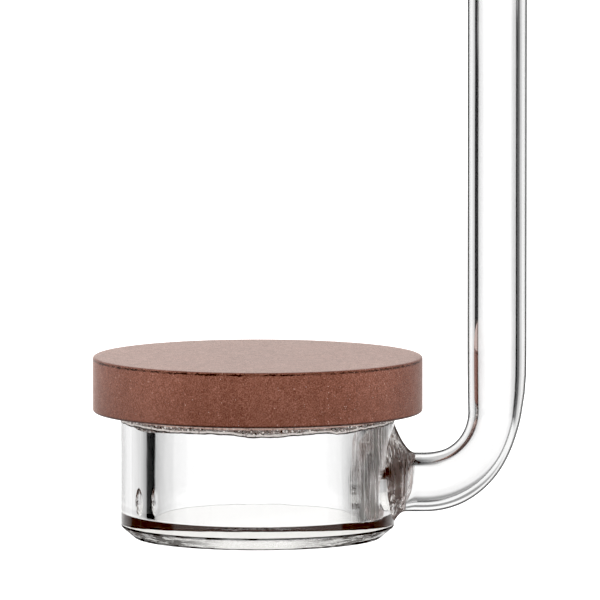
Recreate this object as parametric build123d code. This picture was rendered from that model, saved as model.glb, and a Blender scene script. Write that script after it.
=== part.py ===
from build123d import *
import os

# A carbon dioxide diffuser for a planted aquarium. A thick round cup of clear glass is closed
# by a disc of sintered ceramic, glued to the cup's rim. A bent glass tube, flame-welded to the
# side of the cup, brings the gas in from a hose. A clear soft suction cup holds the tube to the
# aquarium's wall and slides and swivels on it, on a silicone sleeve.
#
# Millimetres, +Z up. The origin is the centre of the base's underside, on the cup's axis, and
# the tube stands on the +X side. The X-Z plane is a mirror plane of the whole object at rest.

# Glass cup
CUP_R = 14.1
CUP_BORE_R = 10.65
BASE_FLAT_R = 12.67
BEVEL_HEIGHT = 1.15
FLOOR_Z = 2.15
FOOT_CHAMFER = 0.7
RIM_Z = 12.4
RIM_ROUND = 0.3
BEVEL_ROUND = 0.25

# Ceramic disc and the glue that holds it
DISC_R = 17.0
DISC_Z = 13.0
DISC_THICKNESS = 5.7
DISC_EDGE_ROUND = 0.25
GLUE_LIP = 0.25
GLUE_LIP_DROP = 0.35

# Glass tube: a little over 6 mm outside, for the usual 4/6 mm hose
TUBE_R = 3.05
TUBE_BORE_R = 2.05
TUBE_AXIS_X = 24.65
INLET_Z = 5.65
BEND_R = 7.5
TUBE_TOP_Z = 120.0
TUBE_END_ROUND = 0.6
TUBE_BORE_END_ROUND = 0.1
HOSE_STOP_Z = 99.5
HOSE_STOP_R = 3.35
HOSE_STOP_HALF = 1.0

# Flame-welded collar between the cup and the tube, drawn out higher above the tube than below
WELD_END_X = 16.2
WELD_TOP_FLARE = 2.95
WELD_BOTTOM_FLARE = 0.95
WELD_SIDE_FLARE = 1.2
WELD_CURVE = 1.8
WELD_SIDE_CURVE = 1.5
WELD_SECTIONS = 6
WELD_ROOT_X = 13.0

# Soft silicone sleeve on the tube
RUNNING_GAP = 0.05
SLEEVE_R = 4.4
SLEEVE_FLANGE_R = 5.4
SLEEVE_FLANGE = 1.0
SLEEVE_LENGTH = 9.4
SLEEVE_Z = 86.0

# Soft suction cup: an eye round the sleeve, a neck and a shallow dish that faces +X
EYE_R = 7.0
EYE_HEIGHT = 7.0
EYE_EDGE_ROUND = 0.8
NECK_R = 4.2
NECK_START = 5.6
DISH_R = 13.0
DISH_FACE = 15.0
DISH_BACK = 9.0
DISH_HOLLOW = 3.2
DISH_LIP = 0.7
NECK_BLEND = 1.6


def turned(outline):
    """A solid of revolution about Z from a closed outline of (radius, height) edges."""
    return revolve(Plane.XZ * make_face(outline), Axis.Z)


def rod(radius, bottom, top):
    """A plain cylinder about Z."""
    return Pos(0, 0, bottom) * extrude(Circle(radius), top - bottom)


def ring(inner, outer, bottom, top):
    """A plain ring about Z."""
    return Pos(0, 0, bottom) * extrude(Circle(outer) - Circle(inner), top - bottom)


def chamber_base():
    """The thick glass bottom, bevelled all round where it was ground."""
    outline = Polyline(
        (0, 0),
        (BASE_FLAT_R, 0),
        (CUP_R, BEVEL_HEIGHT),
        (CUP_R, FLOOR_Z),
        (0, FLOOR_Z),
        close=True,
    )
    base = turned(outline)
    low_edges = base.edges().filter_by(GeomType.CIRCLE).sort_by(Axis.Z)[:2]
    return fillet(low_edges, BEVEL_ROUND)


def chamber_wall():
    """The cup's thick side wall, with the gas port that the tube opens into."""
    foot_r = CUP_BORE_R - FOOT_CHAMFER
    outline = Polyline(
        (foot_r, FLOOR_Z),
        (CUP_R, FLOOR_Z),
        (CUP_R, RIM_Z),
        (CUP_BORE_R, RIM_Z),
        (CUP_BORE_R, FLOOR_Z + FOOT_CHAMFER),
        close=True,
    )
    wall = turned(outline)
    rim_edges = wall.edges().filter_by(GeomType.CIRCLE).sort_by(Axis.Z)[-2:]
    wall = fillet(rim_edges, RIM_ROUND)
    return wall - gas_port()


def gas_port():
    """The way for the gas through the wall and the weld, as a plain rod along X."""
    start = CUP_BORE_R - 2
    length = WELD_END_X - start
    return Pos(start, 0, INLET_Z) * Rot(0, 90, 0) * extrude(Circle(TUBE_BORE_R), length)


def weld_section(x):
    """One upright slice through the weld, an ellipse that widens towards the cup."""
    spread = max(WELD_END_X - x, 0) / (WELD_END_X - CUP_R)
    above = TUBE_R + WELD_TOP_FLARE * spread**WELD_CURVE
    below = TUBE_R + WELD_BOTTOM_FLARE * spread**WELD_CURVE
    side = TUBE_R + WELD_SIDE_FLARE * spread**WELD_SIDE_CURVE
    middle = INLET_Z + (above - below) / 2
    place = Plane(origin=(x, 0, middle), x_dir=(0, 1, 0), z_dir=(1, 0, 0))
    return place * Ellipse(side, (above + below) / 2)


def inlet_weld():
    """The collar of melted glass that joins the tube to the cup."""
    step = (WELD_END_X - WELD_ROOT_X) / (WELD_SECTIONS - 1)
    slices = [weld_section(WELD_ROOT_X + i * step) for i in range(WELD_SECTIONS)]
    collar = loft(slices)
    return collar - rod(CUP_R, -1, DISC_Z + DISC_THICKNESS) - gas_port()


def tube_section():
    """The tube's cross-section."""
    return Circle(TUBE_R) - Circle(TUBE_BORE_R)


def inlet_elbow():
    """The tube's lower part: a short stub out of the weld and a right-angle bend."""
    bend_x = TUBE_AXIS_X - BEND_R
    stub = Pos(WELD_END_X, 0, INLET_Z) * Rot(0, 90, 0) * extrude(tube_section(), bend_x - WELD_END_X)
    pivot = Axis((bend_x, 0, INLET_Z + BEND_R), (0, -1, 0))
    bend = revolve(Plane.YZ.offset(bend_x) * Pos(0, INLET_Z) * tube_section(), pivot, 90)
    return stub + bend


def hose_stop():
    """The shallow bulge that the hose is pushed up to, and that the sleeve can't slide past."""
    crest = (HOSE_STOP_R, HOSE_STOP_Z)
    low = (TUBE_R, HOSE_STOP_Z - HOSE_STOP_HALF)
    high = (TUBE_R, HOSE_STOP_Z + HOSE_STOP_HALF)
    middle_r = (TUBE_R + TUBE_BORE_R) / 2
    outline = ThreePointArc(low, crest, high) + Polyline(high, (middle_r, high[1]), (middle_r, low[1]), low)
    return turned(outline)


def inlet_riser():
    """The tube's tall straight part, melted smooth at its top end."""
    height = TUBE_TOP_Z - INLET_Z - BEND_R
    riser = extrude(tube_section(), height)
    end_edges = riser.edges().filter_by(GeomType.CIRCLE).group_by(Axis.Z)[-1].sort_by(SortBy.LENGTH)
    riser = fillet(end_edges[-1], TUBE_END_ROUND)
    end_edges = riser.edges().filter_by(GeomType.CIRCLE).group_by(Axis.Z)[-1].sort_by(SortBy.LENGTH)
    riser = fillet(end_edges[0], TUBE_BORE_END_ROUND)
    riser = Pos(0, 0, TUBE_TOP_Z - height) * riser
    return Pos(TUBE_AXIS_X, 0, 0) * (riser + hose_stop())


def disc_adhesive():
    """The clear glue between rim and disc, squeezed out a little over both edges of the rim."""
    lip_z = RIM_Z - GLUE_LIP_DROP
    outline = Polyline(
        (CUP_BORE_R, RIM_Z),
        (CUP_BORE_R, lip_z),
        (CUP_BORE_R - GLUE_LIP, DISC_Z),
        (CUP_R + GLUE_LIP, DISC_Z),
        (CUP_R, lip_z),
        (CUP_R, RIM_Z),
        close=True,
    )
    glue = turned(outline)
    return glue - chamber_rim()


def chamber_rim():
    """The top of the cup's wall without the gas port, which the glue fills round."""
    block = ring(CUP_BORE_R, CUP_R, RIM_Z - 1, RIM_Z)
    rim_edges = block.edges().filter_by(GeomType.CIRCLE).sort_by(Axis.Z)[-2:]
    return fillet(rim_edges, RIM_ROUND)


def ceramic_disc():
    """The porous disc that breaks the gas into a mist of fine bubbles."""
    disc = rod(DISC_R, DISC_Z, DISC_Z + DISC_THICKNESS)
    return fillet(disc.edges().filter_by(GeomType.CIRCLE), DISC_EDGE_ROUND)


def stem_sleeve():
    """The bobbin of soft silicone tube that slides on the glass."""
    half = SLEEVE_LENGTH / 2
    sleeve = ring(TUBE_R + RUNNING_GAP, SLEEVE_R, -half, half)
    for bottom in (-half, half - SLEEVE_FLANGE):
        sleeve += ring(TUBE_R + RUNNING_GAP, SLEEVE_FLANGE_R, bottom, bottom + SLEEVE_FLANGE)
    return Pos(TUBE_AXIS_X, 0, SLEEVE_Z) * sleeve


def dish():
    """The suction cup's neck and dish, turned about the X axis, away from the tube."""
    outline = Polyline(
        (NECK_START, 0),
        (NECK_START, NECK_R),
        (DISH_BACK, NECK_R),
        (DISH_BACK + NECK_BLEND, NECK_R + NECK_BLEND),
        (DISH_FACE - DISH_LIP, DISH_R),
        (DISH_FACE, DISH_R),
        (DISH_FACE - DISH_HOLLOW, NECK_R),
        (DISH_FACE - DISH_HOLLOW, 0),
        close=True,
    )
    return revolve(make_face(outline), Axis.X)


def suction_cup():
    """The clear soft cup: an eye on the sleeve, a neck and the dish."""
    eye = rod(EYE_R, -EYE_HEIGHT / 2, EYE_HEIGHT / 2)
    eye = fillet(eye.edges().filter_by(GeomType.CIRCLE), EYE_EDGE_ROUND)
    cup = eye + dish()
    cup -= rod(SLEEVE_R + RUNNING_GAP, -EYE_HEIGHT, EYE_HEIGHT)
    return Pos(TUBE_AXIS_X, 0, SLEEVE_Z) * cup


SUB_PARTS = {
    "chamber_base": chamber_base,
    "chamber_wall": chamber_wall,
    "inlet_weld": inlet_weld,
    "inlet_elbow": inlet_elbow,
    "inlet_riser": inlet_riser,
    "disc_adhesive": disc_adhesive,
    "ceramic_disc": ceramic_disc,
    "stem_sleeve": stem_sleeve,
    "suction_cup": suction_cup,
}

os.makedirs("parts", exist_ok=True)
for name, make in SUB_PARTS.items():
    export_step(make(), f"parts/{name}.step")
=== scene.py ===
import math

import bmesh
import bpy
import numpy as np
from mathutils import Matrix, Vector, noise


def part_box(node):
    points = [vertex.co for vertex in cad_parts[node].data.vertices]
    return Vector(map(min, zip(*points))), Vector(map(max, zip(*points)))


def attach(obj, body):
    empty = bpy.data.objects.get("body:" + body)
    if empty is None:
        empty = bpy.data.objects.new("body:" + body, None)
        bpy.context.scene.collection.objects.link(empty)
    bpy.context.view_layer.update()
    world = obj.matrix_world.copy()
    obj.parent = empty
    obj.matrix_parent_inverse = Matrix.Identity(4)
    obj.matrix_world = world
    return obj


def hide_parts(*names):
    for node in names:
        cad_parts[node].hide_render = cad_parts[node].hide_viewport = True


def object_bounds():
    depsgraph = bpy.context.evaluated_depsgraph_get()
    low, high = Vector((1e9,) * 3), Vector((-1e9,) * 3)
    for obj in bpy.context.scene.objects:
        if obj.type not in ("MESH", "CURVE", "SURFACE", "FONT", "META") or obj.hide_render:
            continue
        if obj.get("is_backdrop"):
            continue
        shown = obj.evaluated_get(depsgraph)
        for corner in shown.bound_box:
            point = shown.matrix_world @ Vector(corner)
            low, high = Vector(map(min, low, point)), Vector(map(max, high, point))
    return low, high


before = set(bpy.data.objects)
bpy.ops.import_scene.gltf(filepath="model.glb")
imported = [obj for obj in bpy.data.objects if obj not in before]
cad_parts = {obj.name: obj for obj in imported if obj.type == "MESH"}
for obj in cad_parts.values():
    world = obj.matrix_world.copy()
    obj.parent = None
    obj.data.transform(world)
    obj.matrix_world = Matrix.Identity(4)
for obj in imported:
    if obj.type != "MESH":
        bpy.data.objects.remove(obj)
cad_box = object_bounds()

# Everything below is in millimetres until a mesh is written, which is in metres.
MM = 0.001

# How much higher than in the CAD the chamber's floor lies
FLOOR_LIFT = 0.12


def box_mm(node):
    """A CAD node's lowest and highest corners, in millimetres."""
    low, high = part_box(node)
    return Vector(low) / MM, Vector(high) / MM


base_high = box_mm("chamber_base")[1]
wall_high = box_mm("chamber_wall")[1]
disc_low, disc_high = box_mm("ceramic_disc")
elbow_low, elbow_high = box_mm("inlet_elbow")
riser_low, riser_high = box_mm("inlet_riser")
sleeve_low, sleeve_high = box_mm("stem_sleeve")
suction_low, suction_high = box_mm("suction_cup")

# Sizes that the CAD boxes give
CUP_R = wall_high.x
FLOOR_Z = base_high.z + FLOOR_LIFT
RIM_Z = wall_high.z
DISC_R = disc_high.x
DISC_Z = disc_low.z
DISC_TOP_Z = disc_high.z
TUBE_X = (sleeve_low.x + sleeve_high.x) / 2
TUBE_R = elbow_high.y
TUBE_TOP_Z = riser_high.z
INLET_Z = elbow_low.z + TUBE_R
WELD_END_X = elbow_low.x
HOSE_STOP_R = (riser_high.x - riser_low.x) / 2

# Sizes that part.py sets inside those boxes
CUP_BORE_R = 10.65
BASE_FLAT_R = 12.67
BEVEL_HEIGHT = 1.15
TUBE_BORE_R = 2.05
BEND_R = 7.5
WELD_TOP_FLARE = 2.95
WELD_BOTTOM_FLARE = 0.95
WELD_SIDE_FLARE = 1.2
WELD_CURVE = 1.8
WELD_SIDE_CURVE = 1.5
HOSE_STOP_Z = 99.5
HOSE_STOP_HALF = 1.0
EYE_BORE_R = 4.45

# Where the hand-made glass strays from the plain shapes: the melt runs out sooner under the
# tube than above it, and the gas port is a sagging oval
WELD_LOW_END_X = 15.15
PORT_R = 2.3
PORT_Z = 5.0

# The bend's outer side is flattened most a little above its middle, and its inner side in the
# middle. Shares of the tube's radius, and lengths along the tube from the bend's middle
BEND_PRESS_OUTER = 0.23
BEND_PRESS_INNER = 0.07
BEND_PRESS_AT = 3.5
BEND_PRESS_BEFORE = 4.8
BEND_PRESS_AFTER = 3.5

# Rounding of the hand-made glass and the ceramic
FLAT_ROUND = 0.15
BEVEL_ROUND = 0.5
FOOT_ROUND = 0.04
RIM_ROUND = 0.3
TUBE_END_ROUND = 0.6
DISC_TOP_ROUND = 0.22
DISC_BOTTOM_ROUND = 0.25

# Where the cup's outer wall starts, above the bevel's rounded corner
LOW_WALL = BEVEL_HEIGHT + 0.35

# The bevel's two edges of painted shade: how high the lower dark band reaches at the front and
# back, how much higher it reaches at the sides, and the heights that the upper one lies between
LOW_EDGE_SHADE = 0.14
LOW_EDGE_SHADE_ASIDE = 0.34
HIGH_EDGE_SHADE = (1.19, 1.37)

# Air bubbles: the long seed in the wall, and how many lie round the weld and in the glue
SEED_AT = (-11.2, -4.9, 4.15)
SEED_RADII = (0.55, 0.55, 1.5)
WELD_BUBBLES = 22
GLUE_BUBBLES = 210

# Indices of refraction, and colours that several materials share
GLASS_IOR = 1.474
GLUE_IOR = 1.5
SOFT_IOR = 1.45
# the pale of the glue's painted highlights: the roll and the bright bubble specks
GLUE_HIGHLIGHT = (1.0, 0.95, 0.91)
CERAMIC_TONES = [
    (0.36, (0.086, 0.028, 0.018)),
    (0.5, (0.172, 0.067, 0.045)),
    (0.66, (0.32, 0.146, 0.108)),
]

# The middle of the disc's rough, speckled patch, on its front right
ROUGH_PATCH = (9.5, -14.1, DISC_Z + 2.0)

# Slots of the glass body's materials
CLEAR, WELD, CONTACT, GROUND, TUBE, EDGE_SHADE, SEAM, BEVEL = range(8)

# Greys of the tent's walls, 0 to 255, by degrees from straight behind the object
SIDE_WALLS = [
    (-62, 20), (-46.5, 12), (-45.5, 160), (-35, 208), (-28, 222), (-20, 240), (-12, 255),
    (13, 255), (19, 232), (30, 208), (36, 200), (43, 170), (46, 110), (62, 85),
]

# Panels of (grey, degrees across, degrees upright, softness): each lies over those before it
PANELS = [
    (215, (-200, 200), (62, 100), (1, 10)),
    (200, (-70, 70), (16, 58), (30, 8)),
    (130, (-30, 30), (-44, -22), (20, 10)),
    (105, (-30, 30), (-95, -66), (20, 12)),
    (45, (-104, -62), (-12, -4.6), (3, 1)),
    (16, (62, 104), (-12, -4.6), (3, 1)),
]

# The picture's levels, in linear light: a studio cut-out print has clean whites and deep blacks
BLACK_POINT = 0.035
WHITE_POINT = 0.93

# Glass mesh density
AROUND = 256
WALL_ROWS = 26
BORE_ROWS = 28
PATCH_RINGS = 12


# ---------------------------------------------------------------- mesh tools

class Skin:
    """The points and faces of one mesh, gathered from grids and stitched where they touch."""

    def __init__(self):
        self.points = []
        self.faces = []
        self.slots = []

    def grid(self, points, wrap_rows=False, wrap_columns=False, keep=None, slot=0):
        """Quads over a rows x columns array of points. keep(row, column) says which ones to make."""
        points = np.asarray(points, float)
        rows, columns = points.shape[:2]
        first = len(self.points)
        self.points += [tuple(p) for p in points.reshape(-1, 3)]
        for i in range(rows if wrap_rows else rows - 1):
            for j in range(columns if wrap_columns else columns - 1):
                if keep is not None and not keep(i, j):
                    continue
                a = first + i * columns + j
                b = first + i * columns + (j + 1) % columns
                c = first + ((i + 1) % rows) * columns + (j + 1) % columns
                d = first + ((i + 1) % rows) * columns + j
                self.faces.append((a, b, c, d))
                self.slots.append(slot(i, j) if callable(slot) else slot)

    def fan(self, ring, centre, slot=0):
        """Triangles from a closed ring of points to one centre point."""
        first = len(self.points)
        self.points += [tuple(p) for p in ring] + [tuple(centre)]
        count = len(ring)
        for j in range(count):
            self.faces.append((first + j, first + (j + 1) % count, first + count))
            self.slots.append(slot)

    def build(self, name, materials, sharp_angle=40, merge=0.0008, bubbles=()):
        """The stitched mesh as an object, normals outwards, with bubbles as inward shells."""
        bm = bmesh.new()
        verts = [bm.verts.new(p) for p in self.points]
        for corners, slot in zip(self.faces, self.slots):
            face = bm.faces.new([verts[k] for k in corners])
            face.material_index = slot
            face.smooth = True
        bmesh.ops.remove_doubles(bm, verts=bm.verts, dist=merge)
        bmesh.ops.recalc_face_normals(bm, faces=bm.faces)
        shell_points, shell_faces = unit_shell()
        for centre, radii, slot in bubbles:
            corners_mm = [[c + v * r for c, v, r in zip(centre, p, radii)] for p in shell_points]
            verts = [bm.verts.new(p) for p in corners_mm]
            for corners in shell_faces:
                face = bm.faces.new([verts[k] for k in reversed(corners)])
                face.material_index = slot
                face.smooth = True
        for vert in bm.verts:
            vert.co *= MM
        mesh = bpy.data.meshes.new(name)
        bm.to_mesh(mesh)
        bm.free()
        mesh.set_sharp_from_angle(angle=math.radians(sharp_angle))
        for material in materials:
            mesh.materials.append(material)
        piece = bpy.data.objects.new(name, mesh)
        bpy.context.collection.objects.link(piece)
        return piece


def unit_shell():
    """The points and outward faces of a ball of radius 1. Reversed, it is air inside glass or glue."""
    bm = bmesh.new()
    bmesh.ops.create_icosphere(bm, subdivisions=2, radius=1.0)
    bm.verts.index_update()
    points = [tuple(vert.co) for vert in bm.verts]
    faces = [[vert.index for vert in face.verts] for face in bm.faces]
    bm.free()
    return points, faces


def rounded(corners, steps=6):
    """An open outline through (r, z, radius) corners, each turned on an arc of its radius."""
    outline = [np.array(corners[0][:2], float)]
    for before, corner, after in zip(corners, corners[1:], corners[2:]):
        a, b, c = (np.array(p[:2], float) for p in (before, corner, after))
        radius = corner[2]
        if radius == 0:
            outline.append(b)
            continue
        u = (a - b) / np.linalg.norm(a - b)
        v = (c - b) / np.linalg.norm(c - b)
        half = math.acos(float(np.clip(u @ v, -1, 1))) / 2
        middle = (u + v) / np.linalg.norm(u + v)
        centre = b + middle * radius / math.sin(half)
        start = b + u * radius / math.tan(half) - centre
        end = b + v * radius / math.tan(half) - centre
        sweep = math.pi - 2 * half
        for k in range(steps + 1):
            t = k / steps
            spoke = (math.sin((1 - t) * sweep) * start + math.sin(t * sweep) * end) / math.sin(sweep)
            outline.append(centre + spoke)
    outline.append(np.array(corners[-1][:2], float))
    return outline


def eased(t):
    """0 to 1 with a slow start and end."""
    return t * t * (3 - 2 * t)


def spread(a, b, count):
    """count + 1 evenly spaced numbers from a to b."""
    return [a + (b - a) * k / count for k in range(count + 1)]


def refined(outline, step):
    """The outline with its long runs cut into pieces no longer than step."""
    fine = [outline[0]]
    for a, b in zip(outline, outline[1:]):
        pieces = max(1, math.ceil(float(np.linalg.norm(b - a)) / step))
        fine += [a + (b - a) * k / pieces for k in range(1, pieces + 1)]
    return fine


def on_cup(r, theta, z):
    return (r * math.cos(theta), r * math.sin(theta), z)


THETAS = [2 * math.pi * j / AROUND for j in range(AROUND)]


def angle_between(a, b):
    """The signed difference of two angles, in degrees, between -180 and 180."""
    return (math.degrees(a) - b + 180) % 360 - 180


def dip(theta, at, width, depth):
    """A smooth hollow in a height that runs round the cup, centred at an angle in degrees."""
    return -depth * math.exp(-(angle_between(theta, at) / width) ** 2)


def wander(theta, scale, seed):
    """Smooth periodic noise round the cup, about -1 to 1."""
    return noise.noise(Vector((math.cos(theta) * scale, math.sin(theta) * scale, seed)))


def jitter(k, scale, seed):
    """Noise for the k-th of a row of bubbles, about -1 to 1."""
    return noise.noise(Vector((k * scale, 0, seed)))


def glue_line_outside(theta):
    """Where the glue stops on the cup's outer wall."""
    line = RIM_Z - 0.4
    line += dip(theta, 273, 13, 0.3)
    line += dip(theta, 310, 9, 0.22)
    line += dip(theta, 232, 12, 0.12)
    return line + 0.09 * wander(theta, 9, 2.0) + 0.07 * wander(theta, 22, 5.0)


def glue_line_inside(theta):
    """Where the glue stops on the cup's inner wall: it has run furthest down at the front left."""
    line = RIM_Z - 0.6
    line += dip(theta, 205, 20, 0.45)
    line += dip(theta, 330, 12, 0.2)
    return line + 0.14 * wander(theta, 4, 9.0) + 0.09 * wander(theta, 12, 3.0)


# ---------------------------------------------------------------- glass

def wall_point(theta, k, rows, radius, low, line):
    """A point on a wall of the cup: row 0 is at low and the last row at the glue's line."""
    z = low + (line(theta) - low) * k / rows
    return on_cup(radius, theta, z)


def patch_border(j0, j1, k0, k1):
    """The (column, row) pairs round a rectangle of a wall's grid, in order."""
    border = [(j, k0) for j in range(j0, j1)]
    border += [(j1, k) for k in range(k0, k1)]
    border += [(j, k1) for j in range(j1, j0, -1)]
    border += [(j0, k) for k in range(k1, k0, -1)]
    return border


def wall_with_hole(skin, radius, low, line, rows, j_half, k0, k1, hole):
    """A cylinder wall whose grid opens into a round hole at theta 0.

    hole(phi) gives the hole's edge as (theta, z). Returns the border's angles about the hole.
    """
    grid = [[wall_point(t, k, rows, radius, low, line) for t in THETAS] for k in range(rows + 1)]

    def keep(k, j):
        column = (j + AROUND // 2) % AROUND - AROUND // 2
        return not (-j_half <= column < j_half and k0 <= k < k1)

    skin.grid(grid, wrap_columns=True, keep=keep)
    angles = []
    outer = []
    for j, k in patch_border(-j_half, j_half, k0, k1):
        theta = 2 * math.pi * j / AROUND
        z = low + (line(theta) - low) * k / rows
        outer.append((theta, z))
        angles.append(math.atan2(z - INLET_Z, theta * radius))
    rings = []
    edges = [hole(phi) for phi in angles]
    for i in range(PATCH_RINGS + 1):
        t = (i / PATCH_RINGS) ** 1.3
        ring = []
        for (theta, z), (edge_theta, edge_z) in zip(outer, edges):
            at_theta = edge_theta + (theta - edge_theta) * t
            ring.append(on_cup(radius, at_theta, edge_z + (z - edge_z) * t))
        rings.append(ring)
    skin.grid(rings, wrap_columns=True)
    return angles


def weld_axes(x):
    """The weld's cross-section at x: its middle's height, half width and half height."""
    spread_out = max(WELD_END_X - x, 0) / (WELD_END_X - CUP_R)
    low_spread = max(WELD_LOW_END_X - x, 0) / (WELD_LOW_END_X - CUP_R)
    above = TUBE_R + WELD_TOP_FLARE * spread_out**WELD_CURVE
    below = TUBE_R + WELD_BOTTOM_FLARE * min(low_spread, 1.3)**WELD_CURVE
    side = TUBE_R + WELD_SIDE_FLARE * spread_out**WELD_SIDE_CURVE
    return INLET_Z + (above - below) / 2, side, (above + below) / 2


def weld_point(x, phi):
    """A point of the weld's skin in the slice at x, in the direction phi about the tube."""
    middle, side, tall = weld_axes(x)
    c, s = math.cos(phi), math.sin(phi)
    # the ray from the tube's axis in the direction phi meets the ellipse
    drop = INLET_Z - middle
    qa = (c / side) ** 2 + (s / tall) ** 2
    qb = 2 * s * drop / tall**2
    qc = (drop / tall) ** 2 - 1
    reach = (-qb + math.sqrt(qb * qb - 4 * qa * qc)) / (2 * qa)
    return x, reach * c, INLET_Z + reach * s


def weld_root(phi):
    """The x where the weld's skin meets the cup's outer wall in the direction phi."""
    low, high = CUP_R - 1.6, CUP_R + 0.01
    for _ in range(40):
        x = (low + high) / 2
        _, y, _ = weld_point(x, phi)
        if x * x + y * y > CUP_R**2:
            high = x
        else:
            low = x
    return x


def weld_hole(phi):
    """The weld's edge on the cup's outer wall, as (theta, z)."""
    x, y, z = weld_point(weld_root(phi), phi)
    return math.atan2(y, x), z


def port_hole(phi):
    """The gas port's edge on the cup's inner wall, as (theta, z)."""
    return math.asin(PORT_R * math.cos(phi) / CUP_BORE_R), PORT_Z + PORT_R * math.sin(phi)


def tube_path():
    """(x, z, heading) along the tube's axis from the weld's end to the top."""
    bend_x = TUBE_X - BEND_R
    bend_z = INLET_Z + BEND_R
    path = [(x, INLET_Z, 0.0) for x in spread(WELD_END_X, bend_x, 4)]
    turns = 40
    for k in range(1, turns + 1):
        a = math.pi / 2 * k / turns
        path.append((bend_x + BEND_R * math.sin(a), bend_z - BEND_R * math.cos(a), a))
    stop_low, stop_high = HOSE_STOP_Z - HOSE_STOP_HALF, HOSE_STOP_Z + HOSE_STOP_HALF
    heights = spread(bend_z, stop_low, 48)[1:]
    heights += spread(stop_low, stop_high, 12)[1:]
    heights += spread(stop_high, TUBE_TOP_Z - TUBE_END_ROUND, 10)[1:]
    path += [(TUBE_X, z, math.pi / 2) for z in heights]
    return path


def outside_radius(z):
    """The tube's outer radius, which swells a little at the hose stop."""
    swell = HOSE_STOP_R - TUBE_R
    arc_r = (HOSE_STOP_HALF**2 + swell**2) / (2 * swell)
    off = min(abs(z - HOSE_STOP_Z), HOSE_STOP_HALF)
    return HOSE_STOP_R - arc_r + math.sqrt(arc_r**2 - off**2)


def flattening(z, heading):
    """How much the bend's outer and inner sides are pressed in, as shares of the tube's radius."""
    half_bend = BEND_R * math.pi / 4
    along = BEND_R * heading - half_bend
    if heading == math.pi / 2:
        along = z - (INLET_Z + BEND_R) + half_bend
    start = eased(min(heading / 0.6, 1))
    width = BEND_PRESS_AFTER if along > BEND_PRESS_AT else BEND_PRESS_BEFORE
    outer = BEND_PRESS_OUTER * math.exp(-(((along - BEND_PRESS_AT) / width) ** 2))
    inner = BEND_PRESS_INNER * math.exp(-((along / half_bend) ** 2))
    return outer * start, inner * start


def tube_ring(x, z, heading, radius, angles, lift=0.0):
    """A ring of points round the tube's axis, moved along the axis by lift."""
    outer, inner = flattening(z, heading)
    ring = []
    for phi in angles:
        out = radius * math.sin(phi)
        out *= 1 - (outer if out < 0 else inner)
        ring.append((
            x - out * math.sin(heading) + lift * math.cos(heading),
            radius * math.cos(phi),
            z + out * math.cos(heading) + lift * math.sin(heading),
        ))
    return ring


def even_angles(angles, t):
    """The ring's own angles eased towards evenly spaced ones, so that the tall tube is regular."""
    count = len(angles)
    start = angles[0]
    even = [start + 2 * math.pi * j / count for j in range(count)]
    turned = []
    for a, b in zip(angles, even):
        while a < b - math.pi:
            a += 2 * math.pi
        while a > b + math.pi:
            a -= 2 * math.pi
        turned.append(a + (b - a) * t)
    return turned


def add_tube(skin, angles, bore_angles):
    """The weld's skin, the tube's outside, its top end and its bore."""
    steps = 24
    roots = [weld_root(phi) for phi in angles]
    weld_rows = []
    for k in range(steps + 1):
        starts = [root + (WELD_END_X - root) * k / steps for root in roots]
        weld_rows.append([weld_point(x, phi) for x, phi in zip(starts, angles)])

    def melted(i, j):
        upward = min(max((math.sin(angles[j]) - 0.35) / 0.5, 0), 1)
        end = WELD_LOW_END_X + (WELD_END_X - WELD_LOW_END_X) * upward
        return WELD if weld_rows[i][j][0] < end else TUBE

    skin.grid(weld_rows, wrap_columns=True, slot=melted)
    path = tube_path()
    outside = []
    for k, (x, z, heading) in enumerate(path):
        radius = outside_radius(z) if heading == math.pi / 2 else TUBE_R
        outside.append(tube_ring(x, z, heading, radius, even_angles(angles, min(k / 30, 1))))
    x, z, heading = path[-1]
    last = even_angles(angles, 1)
    for k in range(1, 9):
        a = math.pi / 2 * k / 8
        radius = TUBE_R - TUBE_END_ROUND * (1 - math.cos(a))
        outside.append(tube_ring(x, z, heading, radius, last, TUBE_END_ROUND * math.sin(a)))
    skin.grid(outside, wrap_columns=True, slot=TUBE)
    bore_round = 0.35
    bore = []
    throat_rows = 14
    for k in range(throat_rows + 1):
        t = k / throat_rows
        ease = eased(t)
        radius = PORT_R + (TUBE_BORE_R - PORT_R) * ease
        middle = PORT_Z + (INLET_Z - PORT_Z) * ease
        row = []
        for phi in bore_angles:
            start = CUP_BORE_R * math.cos(port_hole(phi)[0])
            x = start + (WELD_END_X - start) * t
            row.append((x, radius * math.cos(phi), middle + radius * math.sin(phi)))
        bore.append(row)
    for k, (x, z, heading) in enumerate(path[1:], 1):
        bore.append(tube_ring(x, z, heading, TUBE_BORE_R, even_angles(bore_angles, min(k / 30, 1))))
    x, z, heading = path[-1]
    last_bore = even_angles(bore_angles, 1)
    lift = TUBE_END_ROUND - bore_round
    for k in range(0, 7):
        a = math.pi / 2 * k / 6
        radius = TUBE_BORE_R + bore_round * (1 - math.cos(a))
        bore.append(tube_ring(x, z, heading, radius, last_bore, lift + bore_round * math.sin(a)))
    skin.grid(bore, wrap_columns=True, slot=lambda i, j: TUBE if i > throat_rows else CLEAR)
    return outside[-1], bore[-1]


def add_seam(skin):
    """The milky seam left inside the glass where the tube was fused on: a thin uneven ring."""
    around = 96
    turns = [2 * math.pi * j / around for j in range(around)]
    offsets = [(TUBE_BORE_R + 0.04, 0.02), (TUBE_BORE_R + 0.5, 0.03), (TUBE_R - 0.06, 0.02),
               (TUBE_R - 0.06, -0.02), (TUBE_BORE_R + 0.5, -0.03), (TUBE_BORE_R + 0.04, -0.02)]
    rows = []
    for radius, shift in offsets:
        row = []
        for phi in turns:
            x = WELD_LOW_END_X + shift + 0.12 * wander(phi, 1, radius)
            row.append((x, radius * math.cos(phi), INLET_Z + radius * math.sin(phi)))
        rows.append(row)
    skin.grid(rows, wrap_rows=True, wrap_columns=True, slot=SEAM)


def turn_about_tube(point):
    """A point's angle about the tall tube's axis."""
    return math.atan2(point[1], point[0] - TUBE_X)


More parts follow.
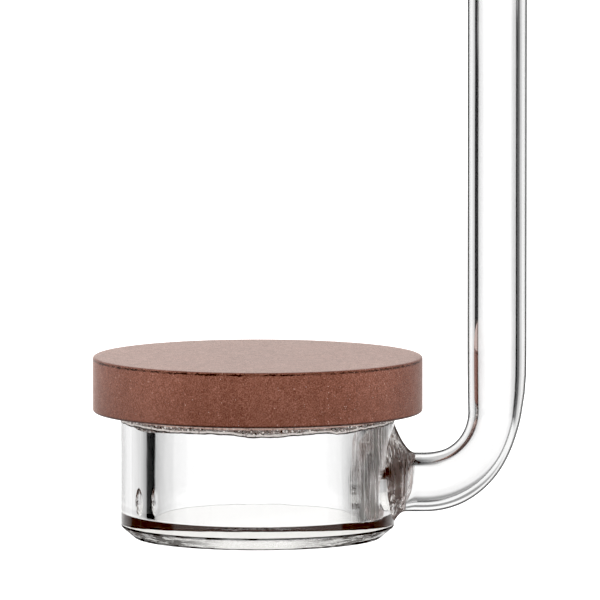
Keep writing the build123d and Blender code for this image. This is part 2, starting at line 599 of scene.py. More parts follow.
def bridge(skin, ring_a, ring_b):
    """Joins two closed rings whose point counts differ, with triangles by angle."""
    a = sorted(ring_a, key=turn_about_tube)
    b = sorted(ring_b, key=turn_about_tube)
    first = len(skin.points)
    skin.points += a + b
    na, nb = len(a), len(b)
    angle_a = [turn_about_tube(p) for p in a] + [turn_about_tube(a[0]) + 2 * math.pi]
    angle_b = [turn_about_tube(p) for p in b] + [turn_about_tube(b[0]) + 2 * math.pi]
    i = j = 0
    while i < na or j < nb:
        if j >= nb or (i < na and angle_a[i + 1] <= angle_b[j + 1]):
            skin.faces.append((first + i, first + (i + 1) % na, first + na + j % nb))
            i += 1
        else:
            skin.faces.append((first + i % na, first + na + (j + 1) % nb, first + na + j))
            j += 1
        skin.slots.append(TUBE)


def rows_from(columns):
    """Rows round the cup from one (radius, height) column for each of THETAS."""
    return [[on_cup(r, theta, z) for theta, (r, z) in zip(THETAS, row)] for row in zip(*columns)]


def add_turned(skin, outline, slot=0):
    """A surface of revolution about the cup's axis."""
    skin.grid([[on_cup(r, t, z) for t in THETAS] for r, z in outline], wrap_columns=True, slot=slot)


def contact_rows(theta, gap=0.0):
    """The glued stretch of the cup's skin: up the outer wall, over the rim, down the inner wall."""
    outer_line = glue_line_outside(theta)
    inner_line = glue_line_inside(theta)
    corners = [
        (CUP_R + gap, outer_line, 0),
        (CUP_R + gap, RIM_Z + gap, RIM_ROUND),
        (CUP_BORE_R - gap, RIM_Z + gap, RIM_ROUND),
        (CUP_BORE_R - gap, inner_line, 0),
    ]
    outline = rounded(corners, 4)
    down = [outline[-2] + (outline[-1] - outline[-2]) * k / 6 for k in range(1, 7)]
    return outline[:-1] + down


def bevel_slot(z, theta):
    """The bevel's skin is clear glass with ground marks, between two edges of painted shade.

    The lower band of painted shade is wider on the left and on the right than at the front and back.
    """
    low_edge = LOW_EDGE_SHADE + LOW_EDGE_SHADE_ASIDE * abs(math.cos(theta)) ** 2.5
    if z < low_edge or HIGH_EDGE_SHADE[0] < z < HIGH_EDGE_SHADE[1]:
        return EDGE_SHADE
    return BEVEL if z < HIGH_EDGE_SHADE[0] else CLEAR


def glass_bubbles():
    """Air sealed in the glass: a long seed in the wall's front left and a chain round the weld."""
    bubbles = [(SEED_AT, SEED_RADII, CLEAR)]
    for k in range(WELD_BUBBLES):
        phi = math.radians(92 + 3.6 * k + 2.5 * jitter(k, 1.7, 4.0))
        x = 14.8 + 0.35 * jitter(k, 2.3, 8.0)
        _, y, z = weld_point(x, phi)
        reach = math.hypot(y, z - INLET_Z)
        inner = TUBE_BORE_R + (0.55 + 0.3 * jitter(k, 3.1, 2.0)) * (reach - TUBE_BORE_R)
        radius = 0.08 + 0.05 * jitter(k, 1.3, 6.0)
        centre = (x, inner * math.cos(phi), INLET_Z + inner * math.sin(phi))
        bubbles.append((centre, (radius, radius, radius * 1.4), CLEAR))
    return bubbles


def glass_body(materials):
    """The cup, weld and tube as one melted body of clear glass."""
    skin = Skin()
    underside = rounded([
        (1.0, 0.0, 0),
        (BASE_FLAT_R, 0.0, FLAT_ROUND),
        (CUP_R, BEVEL_HEIGHT, BEVEL_ROUND),
        (CUP_R, LOW_WALL, 0),
    ], 8)
    add_turned(skin, refined(underside[:2], 1.0), slot=GROUND)
    bevel = refined(underside[1:], 0.06)
    middles = [(a[1] + b[1]) / 2 for a, b in zip(bevel, bevel[1:])]
    add_turned(skin, bevel, slot=lambda i, j: bevel_slot(middles[i], THETAS[j]))
    skin.fan([on_cup(1.0, t, 0.0) for t in THETAS], (0, 0, 0), slot=GROUND)
    angles = wall_with_hole(
        skin, CUP_R, LOW_WALL, glue_line_outside, WALL_ROWS, 20, 0, WALL_ROWS, weld_hole)
    low_bore = FLOOR_Z + FOOT_ROUND
    bore_angles = wall_with_hole(
        skin, CUP_BORE_R, low_bore, glue_line_inside, BORE_ROWS, 16, 0, 19, port_hole)
    floor = rounded([
        (1.0, FLOOR_Z, 0),
        (CUP_BORE_R, FLOOR_Z, FOOT_ROUND),
        (CUP_BORE_R, low_bore, 0),
    ])[:-1]
    add_turned(skin, refined(floor, 1.0))
    skin.fan([on_cup(1.0, t, FLOOR_Z) for t in THETAS], (0, 0, FLOOR_Z))
    columns = [contact_rows(t) for t in THETAS]
    skin.grid(rows_from(columns), wrap_columns=True, slot=CONTACT)
    top_out, top_bore = add_tube(skin, angles, bore_angles)
    bridge(skin, top_out, top_bore)
    add_seam(skin)
    return skin.build("glass_body", materials, bubbles=glass_bubbles())


# ---------------------------------------------------------------- glue

def glue_bead(materials):
    """The ring of clear glue between rim and disc, with uneven beads inside and outside.

    The slots are 0 cloudy, 1 the faces on the glass, 2 the thin dark foot of the outer bead in
    painted shade, 3 the painted highlight of the roll above that foot, 4 the pale film under the
    disc, a painted reflection of it, and 5 its air bubbles.
    """
    skin = Skin()
    gap = 0.002
    embed = 0.04
    columns = []
    for theta in THETAS:
        wetted = contact_rows(theta, gap)
        out_width = 0.3 + 0.12 * wander(theta, 6, 21.0)
        in_width = 0.9 + 0.3 * wander(theta, 5, 31.0) + 0.15 * wander(theta, 15, 33.0)
        inner_line = glue_line_inside(theta)
        outer_line = glue_line_outside(theta)
        top_z = DISC_Z + embed
        inner_end = (CUP_BORE_R - in_width, top_z)
        inner_free = meniscus((CUP_BORE_R, inner_line), inner_end, spread(0, 1, 8))
        tall = top_z - outer_line
        film = 1 - (0.5 + 0.08 * wander(theta, 20, 45.0)) / tall
        foot = min((0.13 + 0.08 * wander(theta, 17, 41.0)) / tall, 0.3 * film)
        roll = min(foot + (0.2 + 0.1 * wander(theta, 12, 43.0)) / tall, 0.7 * film)
        heights = [0, foot, roll, (roll + film) / 2, film, (film + 1) / 2, 1]
        outer_free = meniscus((CUP_R, outer_line), (CUP_R + out_width, top_z), heights)
        top = [np.array(p) for p in zip(
            spread(CUP_BORE_R - in_width, CUP_R + out_width, 6), [top_z] * 7)]
        columns.append(wetted + inner_free[1:] + top[1:-1] + outer_free[::-1][:-1])
    wet_count = len(contact_rows(0.0))
    row_count = len(columns[0])
    # rows of painted shade (2), painted highlight (3) and painted reflection of the disc (4)
    outer_slots = {row_count - 1: 2, row_count - 2: 3, row_count - 5: 4, row_count - 6: 4}

    def slot(i, j):
        return 1 if i < wet_count - 1 else outer_slots.get(i, 0)

    skin.grid(rows_from(columns), wrap_rows=True, wrap_columns=True, slot=slot)
    return skin.build("glue_bead", materials, sharp_angle=60, bubbles=glue_bubbles())


def glue_bubbles():
    """A row of small bubbles caught where the rim's rounded edge meets the glue."""
    bubbles = []
    for k in range(GLUE_BUBBLES):
        theta = 2 * math.pi * (k + 0.4 * jitter(k, 1.9, 1.0)) / GLUE_BUBBLES
        radius = 0.085 + 0.06 * jitter(k, 2.7, 5.0)
        z = RIM_Z + 0.1 + 0.06 * jitter(k, 1.1, 7.0)
        bubbles.append((on_cup(CUP_R - 0.09, theta, z), (radius,) * 3, 5))
    return bubbles


def meniscus(low, high, heights):
    """A hollow curve of glue from the wall at low to the disc at high, with points at the heights.

    A height is the share of the way up, and the curve leaves the wall steeply.
    """
    curve = []
    for share in heights:
        t = (1.4 - math.sqrt(1.96 - 1.6 * share)) / 0.8
        out = 0.5 * t * (1 - t) + t * t
        reach, rise = high[0] - low[0], high[1] - low[1]
        curve.append(np.array([low[0] + out * reach, low[1] + share * rise]))
    return curve


# ---------------------------------------------------------------- ceramic

def ceramic_stone(ceramic):
    """The sintered disc, with worn edges."""
    skin = Skin()
    around = 512
    outline = rounded([
        (1.0, DISC_TOP_Z, 0),
        (DISC_R, DISC_TOP_Z, DISC_TOP_ROUND),
        (DISC_R, DISC_Z, DISC_BOTTOM_ROUND),
        (1.0, DISC_Z, 0),
    ], 5)
    outline = refined(outline, 0.4)
    turn = [2 * math.pi * j / around for j in range(around)]
    skin.grid([[on_cup(r, t, z) for t in turn] for r, z in outline], wrap_columns=True)
    skin.fan([on_cup(1.0, t, DISC_TOP_Z) for t in turn], (0, 0, DISC_TOP_Z))
    skin.fan([on_cup(1.0, t, DISC_Z) for t in turn], (0, 0, DISC_Z))
    return skin.build("ceramic_stone", [ceramic], sharp_angle=80)


# ---------------------------------------------------------------- suction cup

def soft_suction_cup(vinyl):
    """The CAD cup's shape with its edges and joins rounded as a soft moulding's are."""
    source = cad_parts["suction_cup"]
    piece = bpy.data.objects.new("soft_suction_cup", source.data.copy())
    piece.matrix_world = source.matrix_world.copy()
    bpy.context.collection.objects.link(piece)
    remesh = piece.modifiers.new("remesh", "REMESH")
    remesh.mode = "VOXEL"
    remesh.voxel_size = 0.2 * MM
    smooth = piece.modifiers.new("smooth", "SMOOTH")
    smooth.iterations = 24
    smooth.factor = 0.5
    depsgraph = bpy.context.evaluated_depsgraph_get()
    mesh = bpy.data.meshes.new_from_object(piece.evaluated_get(depsgraph))
    piece.modifiers.clear()
    mesh.transform(piece.matrix_world)
    piece.data = mesh
    piece.matrix_world.identity()
    centre_z = (suction_low.z + suction_high.z) / 2
    for vert in mesh.vertices:
        x, y, z = vert.co / MM
        away = math.hypot(x - TUBE_X, y)
        if away < EYE_BORE_R + 0.4 and abs(z - centre_z) < 3.3:
            grow = EYE_BORE_R / away
            vert.co.x = (TUBE_X + (x - TUBE_X) * grow) * MM
            vert.co.y = y * grow * MM
    mesh.materials.clear()
    mesh.materials.append(vinyl)
    for face in mesh.polygons:
        face.use_smooth = True
    return piece


# ---------------------------------------------------------------- node helpers

def feed(tree, socket, value):
    """Sets a socket to a number or colour, or links another socket to it."""
    if isinstance(value, (int, float, tuple)):
        socket.default_value = value
    else:
        tree.links.new(value, socket)


def node(tree, kind, inputs, **settings):
    """A new node's outputs, once its settings are made and its inputs fed by name or number."""
    made = tree.nodes.new("ShaderNode" + kind)
    for key, value in settings.items():
        setattr(made, key, value)
    for key, value in inputs.items():
        feed(tree, made.inputs[key], value)
    return made.outputs


def material(name, surface, *options, **more):
    """A material with the surface that surface(tree, ...) makes."""
    made = bpy.data.materials.new(name)
    made.use_nodes = True
    tree = made.node_tree
    tree.nodes.clear()
    node(tree, "OutputMaterial", {"Surface": surface(tree, *options, **more)})
    return made


def maths(tree, operation, *values):
    """A Math node fed with numbers or sockets."""
    return node(tree, "Math", dict(enumerate(values)), operation=operation)[0]


def product(tree, *values):
    """Numbers and sockets multiplied together."""
    total = values[0]
    for value in values[1:]:
        total = maths(tree, "MULTIPLY", total, value)
    return total


def apart(tree, value, middle):
    """How far a socket's value is from a number, either way."""
    return maths(tree, "ABSOLUTE", maths(tree, "SUBTRACT", value, middle))


def fade(tree, value, start, end, low=0.0, high=1.0):
    """Low before start, high after end, eased between them."""
    inputs = {"Value": value, "From Min": start, "From Max": end, "To Min": low, "To Max": high}
    return node(tree, "MapRange", inputs, interpolation_type="SMOOTHSTEP")[0]


def place(tree, stretch=(1, 1, 1)):
    """The point on the object in millimetres, squeezed along each axis."""
    where = node(tree, "TexCoord", {})["Object"]
    return node(tree, "Mapping", {"Vector": where, "Scale": tuple(k / MM for k in stretch)})[0]


def split_xyz(tree, vector):
    """The X, Y and Z sockets of a vector."""
    return node(tree, "SeparateXYZ", {0: vector})


def grain(tree, point, scale, detail=2.0, roughness=0.5):
    """Noise with features about 1 / scale millimetres across."""
    inputs = {"Vector": point, "Scale": scale, "Detail": detail, "Roughness": roughness}
    return node(tree, "TexNoise", inputs)["Fac"]


def cells(tree, scale):
    """Scattered spots: the distance to the nearest, and three numbers drawn for it."""
    spots = node(tree, "TexVoronoi", {"Vector": place(tree), "Scale": scale})
    return spots["Distance"], node(tree, "SeparateColor", {0: spots["Color"]})


def distance_to(tree, point, target):
    """The distance from the point to a fixed one."""
    return node(tree, "VectorMath", {0: point, 1: target}, operation="DISTANCE")["Value"]


def bump(tree, height, distance_mm, strength=1.0, after=None):
    """A normal bent by a height, on top of another bump if there is one."""
    inputs = {"Height": height, "Distance": distance_mm * MM, "Strength": strength}
    if after is not None:
        inputs["Normal"] = after
    return node(tree, "Bump", inputs)[0]


def inner_faces(tree):
    """1 where the surface is seen from inside the glass, 0 where it is seen from the air."""
    return node(tree, "NewGeometry", {})["Backfacing"]


def outer_faces(tree):
    """1 where the surface is seen from the air, 0 where it is seen from inside the glass."""
    return maths(tree, "SUBTRACT", 1.0, inner_faces(tree))


def edge_on(tree):
    """0 where the surface is seen square on, rising to 1 where it is seen edge-on."""
    return node(tree, "LayerWeight", {})["Facing"]


def ramp(tree, value, stops):
    """Colours looked up along a row of (place, colour) stops."""
    made = tree.nodes.new("ShaderNodeValToRGB")
    elements = made.color_ramp.elements
    while len(elements) > 1:
        elements.remove(elements[0])
    elements[0].position = stops[0][0]
    elements[0].color = (*stops[0][1], 1)
    for where, colour in stops[1:]:
        elements.new(where).color = (*colour, 1)
    tree.links.new(value, made.inputs[0])
    return made.outputs[0]


def blend(tree, kind, share, first, second):
    """Two colours blended, by the share of the second."""
    inputs = {"Factor": share, "A": first, "B": second}
    return node(tree, "Mix", inputs, data_type="RGBA", blend_type=kind)["Result"]


def mixed(tree, share, first, second):
    """Two shaders mixed, by the share of the second."""
    return node(tree, "MixShader", {0: share, 1: first, 2: second})[0]


def plain(tree, kind, colour):
    """A Diffuse or Translucent shader of one colour."""
    return node(tree, "Bsdf" + kind, {"Color": (*colour, 1)})[0]


def satin(tree, colour, roughness):
    """An opaque shader with a soft gloss."""
    return node(tree, "BsdfPrincipled", {"Base Color": (*colour, 1), "Roughness": roughness})[0]


def see_through(tree):
    """Light goes straight on, as where glass and glue meet with no air between."""
    return node(tree, "BsdfTransparent", {})[0]


def glass(tree, normal, tint=(1, 1, 1), ior=GLASS_IOR, roughness=0.0):
    """Clear glass, glue or soft plastic, with a bumped normal if there is one."""
    inputs = {"Base Color": (*tint, 1), "Roughness": roughness, "IOR": ior, "Transmission Weight": 1.0}
    if normal is not None:
        inputs["Normal"] = normal
    return node(tree, "BsdfPrincipled", inputs)[0]


# ---------------------------------------------------------------- materials

def clear_glass(tree):
    """Flame-worked borosilicate: clear, faintly wavy, with upright grey streaks near the weld."""
    point = place(tree)
    reach = distance_to(tree, point, (CUP_R, 0, INLET_Z))
    away = distance_to(tree, place(tree, (1, 1, 0)), (0, 0, 0))
    near_weld = product(
        tree,
        fade(tree, reach, 6.0, 7.6),
        fade(tree, reach, 9.0, 12.6, 1.0, 0.0),
        fade(tree, away, 12.5, 13.5),
        fade(tree, split_xyz(tree, point)["Z"], FLOOR_Z, FLOOR_Z + 0.7),
    )
    waves = grain(tree, place(tree, (1, 1, 0.35)), 0.5, 1.0)
    streaks = grain(tree, place(tree, (1, 1, 0.04)), 2.2, 3.0, 0.6)
    soft = bump(tree, waves, 0.03, 0.6)
    normal = bump(tree, product(tree, streaks, near_weld), 0.08, 1.0, soft)
    share = product(tree, near_weld, fade(tree, streaks, 0.38, 0.6, 0.2, 0.82), outer_faces(tree))
    haze = plain(tree, "Translucent", (0.5, 0.5, 0.49))
    return mixed(tree, share, glass(tree, normal), haze)


def tube_glass(tree):
    """Drawn tube: smooth, with a painted dark rim, the one a thin glass rod shows against white.

    A dark line lies on its upper side beside the weld, fading out along the tube.
    """
    x, _, z = split_xyz(tree, place(tree))
    upper_dark_line = product(
        tree,
        fade(tree, x, WELD_END_X, WELD_END_X + 3.2, 0.75, 0.0),
        fade(tree, apart(tree, z, INLET_Z + 2.25), 0.15, 0.45, 1.0, 0.0),
    )
    # painted shade: a near-black diffuse where the tube is seen edge-on from the air
    rim = fade(tree, edge_on(tree), 0.62, 0.72, 0.0, 0.8)
    share = product(tree, maths(tree, "MAXIMUM", rim, upper_dark_line), outer_faces(tree))
    waves = grain(tree, place(tree, (1, 1, 0.35)), 0.3, 1.0)
    tube = glass(tree, bump(tree, waves, 0.03, 0.6))
    return mixed(tree, share, tube, plain(tree, "Diffuse", (0.03, 0.03, 0.03)))


def weld_glass(tree):
    """Melted collar: wrinkled, with upright smoky streaks from the flame and a painted dark rim."""
    streaks = grain(tree, place(tree, (1, 0.4, 0.06)), 3.6, 2.0, 0.5)
    folds = grain(tree, place(tree, (1, 1, 0.3)), 0.9, 1.0)
    normal = bump(tree, streaks, 0.1, 1.0, bump(tree, folds, 0.2))
    collar = glass(tree, normal, (0.9, 0.85, 0.84))
    smoke = plain(tree, "Translucent", (0.4, 0.33, 0.31))
    smoky = mixed(tree, fade(tree, streaks, 0.42, 0.58, 0.05, 0.8), collar, smoke)
    # painted shade: a dark diffuse where the collar is seen edge-on from the air
    rim = product(tree, fade(tree, edge_on(tree), 0.6, 0.85, 0.0, 0.85), outer_faces(tree))
    return mixed(tree, rim, smoky, plain(tree, "Diffuse", (0.08, 0.06, 0.055)))


def seam_glass(tree):
    """Tiny bubbles and folds in the seam: smoky upright streaks that let part of the light by."""
    pale = (0.8, 0.77, 0.76)
    smoke = mixed(tree, 0.5, plain(tree, "Translucent", pale), plain(tree, "Diffuse", pale))
    streaks = grain(tree, place(tree, (1, 1, 0.15)), 3.0, 3.0, 0.6)
    return mixed(tree, fade(tree, streaks, 0.35, 0.6, 0.45, 0.9), see_through(tree), smoke)


def bevel_glass(tree):
    """The hand-ground bevel: clear at the front, with grey grinding marks towards both sides.

    From inside the glass a painted reflection of the disc's shaded underside lies on it all round,
    but for a gap in the middle.
    """
    x, _, z = split_xyz(tree, place(tree))
    off_middle = maths(tree, "ABSOLUTE", x)
    marks = grain(tree, place(tree, (1, 1, 8)), 0.45, 4.0, 0.7)
    aside = fade(tree, off_middle, 2.0, 9.0, 0.0, 0.85)
    share = product(tree, aside, fade(tree, marks, 0.42, 0.56, 0.25, 1.0))
    grey = plain(tree, "Translucent", (0.12, 0.1, 0.088))
    ground = mixed(tree, share, glass(tree, bump(tree, marks, 0.1, 0.7)), grey)
    # painted reflection: a dark brown diffuse on the inner faces for the disc's shaded underside
    painted_reflection_share = product(
        tree,
        fade(tree, off_middle, 0.9, 2.2, 0.0, 0.8),
        fade(tree, z, 0.04, 0.07),
        inner_faces(tree),
    )
    return mixed(tree, painted_reflection_share, ground, plain(tree, "Diffuse", (0.19, 0.14, 0.127)))


def painted_edge_shade(tree):
    """Painted shade on a thin, ground and chipped edge of the bevel: it shows dark against white."""
    chips = grain(tree, place(tree, (1, 1, 3)), 0.5, 3.0, 0.6)
    share = product(tree, fade(tree, chips, 0.35, 0.6, 0.7, 1.0), outer_faces(tree))
    # painted shade: a near-black diffuse over most of the edge's outer skin
    dark = plain(tree, "Diffuse", (0.02, 0.017, 0.016))
    return mixed(tree, share, glass(tree, None, roughness=0.05), dark)


def ground_glass(tree):
    """The base's flat underside, ground on a wheel to a fine frost."""
    scratches = grain(tree, place(tree), 4.0, 3.0, 0.7)
    frost = glass(tree, bump(tree, scratches, 0.03), roughness=0.55)
    milky = plain(tree, "Translucent", (0.95, 0.94, 0.91))
    return mixed(tree, fade(tree, scratches, 0.2, 0.8, 0.75, 0.95), frost, milky)


def cloud(tree, colour):
    """Fine foam: half lit from the front, half glowing through from behind."""
    return mixed(tree, 0.5, satin(tree, colour, 0.35), plain(tree, "Translucent", colour))


def clouded_glue(tree, colour, cloud_share, has_skin=True, specks=0.0):
    """Clear glue with foam of one colour in it, and painted highlights and shade as specks of bubbles.
    """
    foam = grain(tree, place(tree, (1, 1, 1.6)), 2.6, 4.0, 0.65)
    if has_skin:
        clear = glass(tree, bump(tree, foam, 0.15), (1, 0.985, 0.97), GLUE_IOR)
    else:
        clear = see_through(tree)
    share = fade(tree, foam, 0.38, 0.62, *cloud_share)
    surface = mixed(tree, share, clear, cloud(tree, colour))
    if specks:
        near, draw = cells(tree, 3.3)
        # painted highlights and painted shade of bubbles: pale and near-black foam in scattered cells
        spot = fade(tree, near, 0.28, 0.5, specks, 0.0)
        bright = product(tree, spot, fade(tree, draw[0], 0.58, 0.62))
        dark = product(tree, spot, fade(tree, draw[0], 0.36, 0.4, 1.0, 0.0))
        surface = mixed(tree, bright, surface, cloud(tree, GLUE_HIGHLIGHT))
        surface = mixed(tree, dark, surface, cloud(tree, (0.03, 0.016, 0.012)))
    return surface


def bubble_skin(tree):
    """The skin of an air bubble inside the glue."""
    uneven = grain(tree, place(tree), 6.0, 1.0)
    return glass(tree, bump(tree, uneven, 0.01), ior=GLUE_IOR)


def disc_shading(tree, point):
    """How light each place on the disc is, painted into its colour: a dark line under its top edge,
    another along its bottom edge, painted shade darkening it slowly on the way down, painted light
    on the sides and more on the right, and painted light that makes the underside pale."""
    x, _, height = split_xyz(tree, point)
    chips = product(tree, maths(tree, "SUBTRACT", grain(tree, point, 4.0, 2.0), 0.5), 0.35)
    below_top = apart(tree, maths(tree, "ADD", height, chips), DISC_TOP_Z - 0.24)
    top_line = product(
        tree,
        fade(tree, below_top, 0.05, 0.13, 0.9, 0.0),
        fade(tree, grain(tree, point, 1.6, 3.0), 0.4, 0.55, 0.35, 1.0),
        fade(tree, x, 2.0, 8.0, 1.0, 0.85),
    )
    bottom_line = fade(tree, height, DISC_Z + 0.12, DISC_Z + 0.32, 0.8, 0.0)
    # painted shade towards the bottom, painted light on the sides and right, painted light underside
    return product(
        tree,
        fade(tree, height, DISC_Z + 0.3, DISC_TOP_Z - 0.4, 0.9, 1.04),
        maths(tree, "SUBTRACT", 1.0, top_line),
        maths(tree, "SUBTRACT", 1.0, bottom_line),
        fade(tree, height, DISC_Z + 0.01, DISC_Z + 0.02, 2.6, 1.0),
        fade(tree, maths(tree, "ABSOLUTE", x), 3.0, 10.0, 1.0, 1.09),
        fade(tree, x, 4.0, 12.0, 1.0, 1.06),
    )


def porous_ceramic(tree):
    """Sintered, porous ceramic: red-brown grains, open pores and a painted sheen seen edge-on."""
    point = place(tree)
    fine = grain(tree, point, 8.0, 3.0, 0.7)
    coarse = grain(tree, point, 1.3, 3.0, 0.6)
    broad = grain(tree, place(tree, (1, 1, 0.5)), 0.14, 2.0, 0.5)
    tone = product(tree, fine, 0.75)
    tone = maths(tree, "MULTIPLY_ADD", coarse, 0.13, tone)
    tone = maths(tree, "MULTIPLY_ADD", broad, 0.12, tone)
    colour = ramp(tree, tone, CERAMIC_TONES)
    near, draw = cells(tree, 3.2)
    rough_patch = fade(tree, distance_to(tree, point, ROUGH_PATCH), 1.5, 6.0, 1.0, 0.0)
    rougher = product(tree, rough_patch, fade(tree, draw[0], 0.3, 0.4))
    pitted = maths(tree, "MAXIMUM", fade(tree, draw[0], 0.72, 0.8), rougher)
    pore = product(tree, fade(tree, near, 0.1, 0.24, 1.0, 0.0), pitted)
    specked = fade(tree, maths(tree, "MULTIPLY_ADD", rough_patch, 0.22, draw[1]), 0.9, 0.94)
    speck = product(tree, fade(tree, near, 0.12, 0.22, 1.0, 0.0), specked)
    colour = blend(tree, "MIX", product(tree, pore, 0.55), colour, (0.07, 0.03, 0.02, 1))
    colour = blend(tree, "MIX", product(tree, speck, 0.6), colour, (0.62, 0.42, 0.35, 1))
    # painted light and shade: the colour multiplied by disc_shading
    colour = blend(tree, "MULTIPLY", 1.0, colour, disc_shading(tree, point))
    relief = maths(tree, "SUBTRACT", tone, product(tree, pore, 0.5))
    stone = node(tree, "BsdfPrincipled", {
        "Base Color": colour,
        "Normal": bump(tree, relief, 0.14),
        "Roughness": 0.5,
        "Specular IOR Level": 0.3,
        "Sheen Weight": 0.1,
    })[0]
    facing = node(tree, "NewGeometry", {})["Normal"]
    # painted sheen: a pale diffuse mixed in where the surface is seen edge-on, more on the top
    painted_sheen_share = product(
        tree,
        maths(tree, "POWER", edge_on(tree), 9.0),
        1.05,
        fade(tree, fine, 0.3, 0.7, 0.5, 1.15),
        fade(tree, coarse, 0.3, 0.7, 0.9, 1.12),
        fade(tree, split_xyz(tree, facing)["Z"], 0.3, 0.7, 0.55, 1.03),
    )
    painted_sheen = plain(tree, "Diffuse", (0.95, 0.79, 0.73))
    return mixed(tree, painted_sheen_share, stone, painted_sheen)


def soft_plastic(tree, tint, roughness, cloudiness):
    """Clear moulded vinyl or silicone: faintly cloudy, with soft flow marks and a fine skin."""
    point = place(tree)
    flow = grain(tree, point, 0.45, 2.0)
    texture = grain(tree, point, 3.0, 3.0, 0.6)
    normal = bump(tree, texture, 0.02, 1.0, bump(tree, flow, 0.06, 0.8))
    share = fade(tree, flow, 0.3, 0.7, cloudiness * 0.6, cloudiness * 1.4)
    clear = glass(tree, normal, tint, SOFT_IOR, roughness)
    return mixed(tree, share, clear, satin(tree, (0.88, 0.93, 0.94), 0.4))


# ---------------------------------------------------------------- stage

def add_camera():
    """The photograph's view: level with the object, from a little above, through a long lens."""
    elevation = math.radians(5.77)
    distance = 1.8
    view_width = 0.0618
    target = Vector((4.36, 0, 24.5)) * MM
    back = Vector((0, -math.cos(elevation), math.sin(elevation)))
    camera_data = bpy.data.cameras.new("camera")
    camera_data.sensor_width = 36
    camera_data.lens = 36 * distance / view_width
    camera_data.clip_start = 0.01
    camera_data.clip_end = 30
    camera = bpy.data.objects.new("camera", camera_data)
    camera.location = target + back * distance
    camera.rotation_mode = "QUATERNION"
    camera.rotation_quaternion = (-back).to_track_quat("-Z", "Y")
    bpy.context.collection.objects.link(camera)
    bpy.context.scene.camera = camera


def floor_paper(tree):
    """White paper that is lit and also glows a little, so that it stays plain."""
    paper = plain(tree, "Diffuse", (0.4, 0.4, 0.4))
    glow = node(tree, "Emission", {"Strength": 1.12})[0]
    return node(tree, "AddShader", {0: paper, 1: glow})[0]


def add_floor():
    """A plain pale floor, just under the base so that light can pass between them."""
    size = 6.0
    drop = 0.00005
    mesh = bpy.data.meshes.new("floor")
    corners = [(-size, -size, -drop), (size, -size, -drop), (size, size, -drop), (-size, size, -drop)]
    mesh.from_pydata(corners, [], [(0, 1, 2, 3)])
    mesh.materials.append(material("floor_white", floor_paper))
    floor = bpy.data.objects.new("floor", mesh)
    bpy.context.collection.objects.link(floor)
    floor.visible_transmission = False
    floor.visible_glossy = False
    floor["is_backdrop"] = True


def linear(srgb):
    """A grey of 0 to 255 as linear light."""
    s = srgb / 255
    return s / 12.92 if s <= 0.04045 else ((s + 0.055) / 1.055) ** 2.4


def span(tree, angle, ends, soft):
    """1 between two angles and 0 outside them, with soft edges, in degrees."""
    middle = (ends[0] + ends[1]) / 2
    half = (ends[1] - ends[0]) / 2
    return fade(tree, apart(tree, angle, middle), half - soft / 2, half + soft / 2, 1.0, 0.0)


def panel(tree, azimuth, elevation, light, grey, across, upright, soft):
    """Lays a soft-edged panel of one grey over the light so far. Angles in degrees."""
    wide = span(tree, azimuth, across, soft[0])
    tall = span(tree, elevation, upright, soft[1])
    inside = product(tree, wide, tall)
    return node(tree, "Mix", {"Factor": inside, "A": light, "B": grey})["Result"]


def background(tree, colour, strength=1.0):
    """A sky of one colour, or of the colour that a socket gives."""
    return node(tree, "Background", {"Color": colour, "Strength": strength})[0]


def add_world():
    """A white studio tent: a bright backdrop, greyer walls beside it, and dark flags either side."""
    world = bpy.data.worlds.new("studio")
    bpy.context.scene.world = world
    world.use_nodes = True
    tree = world.node_tree
    tree.nodes.clear()
    x, y, z = split_xyz(tree, node(tree, "TexCoord", {})["Generated"])
    # azimuth is 0 straight behind the object and positive towards +X
    azimuth = product(tree, maths(tree, "ARCTAN2", x, y), 180 / math.pi)
    elevation = product(tree, maths(tree, "ARCSINE", z), 180 / math.pi)
    turn = maths(tree, "MULTIPLY_ADD", azimuth, 1 / 360, 0.5)
    stops = [(degrees / 360 + 0.5, (linear(grey),) * 3) for degrees, grey in SIDE_WALLS]
    walls = ramp(tree, turn, stops)
    light = panel(tree, azimuth, elevation, 0.9, walls, (-62, 62), (-13, 14), (2, 6))
    for grey, across, upright, soft in PANELS:
        light = panel(tree, azimuth, elevation, light, linear(grey), across, upright, soft)
    seen_in_glass = background(tree, light)
    from_above = fade(tree, elevation, -20, 70, 0.72, 1.25)
    from_table = fade(tree, elevation, -45, -20, 1.15, 0.0)
    soft_light = background(tree, maths(tree, "MAXIMUM", from_above, from_table))
    backdrop = background(tree, (1.0, 1.0, 1.0, 1.0), 1.1)
    rays = node(tree, "LightPath", {})
    tent = mixed(tree, rays["Is Diffuse Ray"], seen_in_glass, soft_light)
    sky = mixed(tree, rays["Is Camera Ray"], tent, backdrop)
    node(tree, "OutputWorld", {"Surface": sky})


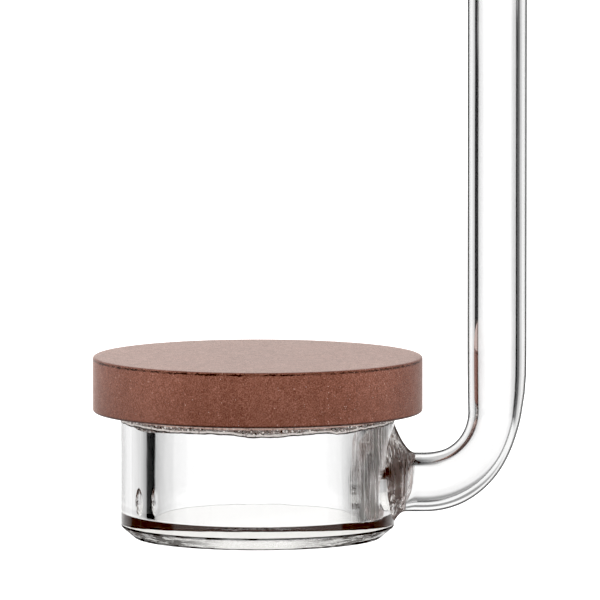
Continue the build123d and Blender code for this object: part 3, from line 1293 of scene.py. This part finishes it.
def set_light_paths():
    """Thick glass needs many bounces, and white has to stay white."""
    scene = bpy.context.scene
    scene.view_settings.view_transform = "Standard"
    scene.view_settings.use_curve_mapping = True
    levels = scene.view_settings.curve_mapping
    levels.black_level = (BLACK_POINT,) * 3
    levels.white_level = (WHITE_POINT,) * 3
    levels.update()
    scene.cycles.max_bounces = 96
    scene.cycles.transmission_bounces = 96
    scene.cycles.glossy_bounces = 16
    scene.cycles.transparent_max_bounces = 32
    scene.cycles.diffuse_bounces = 4


set_light_paths()
add_camera()
add_world()
add_floor()

body = glass_body([
    material("clear_glass", clear_glass),
    material("weld_glass", weld_glass),
    material("glued_contact", see_through),
    material("ground_glass", ground_glass),
    material("tube_glass", tube_glass),
    material("painted_edge_shade", painted_edge_shade),
    material("fused_seam", seam_glass),
    material("ground_bevel", bevel_glass),
])
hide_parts("chamber_base", "chamber_wall", "inlet_weld", "inlet_elbow", "inlet_riser")
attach(body, "glassware")

bead = glue_bead([
    material("cloudy_glue", clouded_glue, (0.3, 0.22, 0.19), (0.0, 0.6), specks=1.0),
    material("glued_face", clouded_glue, (0.4, 0.3, 0.26), (0.0, 0.35), has_skin=False),
    # the foot is painted shade, the roll a painted highlight, the film a painted reflection of the
    # disc
    material("glue_foot_painted_shade", clouded_glue, (0.03, 0.018, 0.014), (0.8, 1.0)),
    material("glue_roll_painted_highlight", clouded_glue, GLUE_HIGHLIGHT, (0.85, 1.0), specks=0.5),
    material("glue_film_painted_reflection", clouded_glue, (0.78, 0.56, 0.49), (0.8, 1.0), specks=0.5),
    material("glue_bubble", bubble_skin),
])
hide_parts("disc_adhesive")
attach(bead, "glassware")

stone = ceramic_stone(material("sintered_ceramic", porous_ceramic))
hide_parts("ceramic_disc")
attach(stone, "glassware")

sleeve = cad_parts["stem_sleeve"]
sleeve.data.materials.clear()
sleeve.data.materials.append(material("soft_silicone", soft_plastic, (0.95, 0.97, 0.97), 0.25, 0.25))

cup = soft_suction_cup(material("soft_vinyl", soft_plastic, (0.96, 0.99, 0.99), 0.08, 0.08))
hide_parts("suction_cup")
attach(cup, "suction_cup")

boxes = {"cad": cad_box, "visual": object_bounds()}
{key: [list(corner) for corner in box] for key, box in boxes.items()}
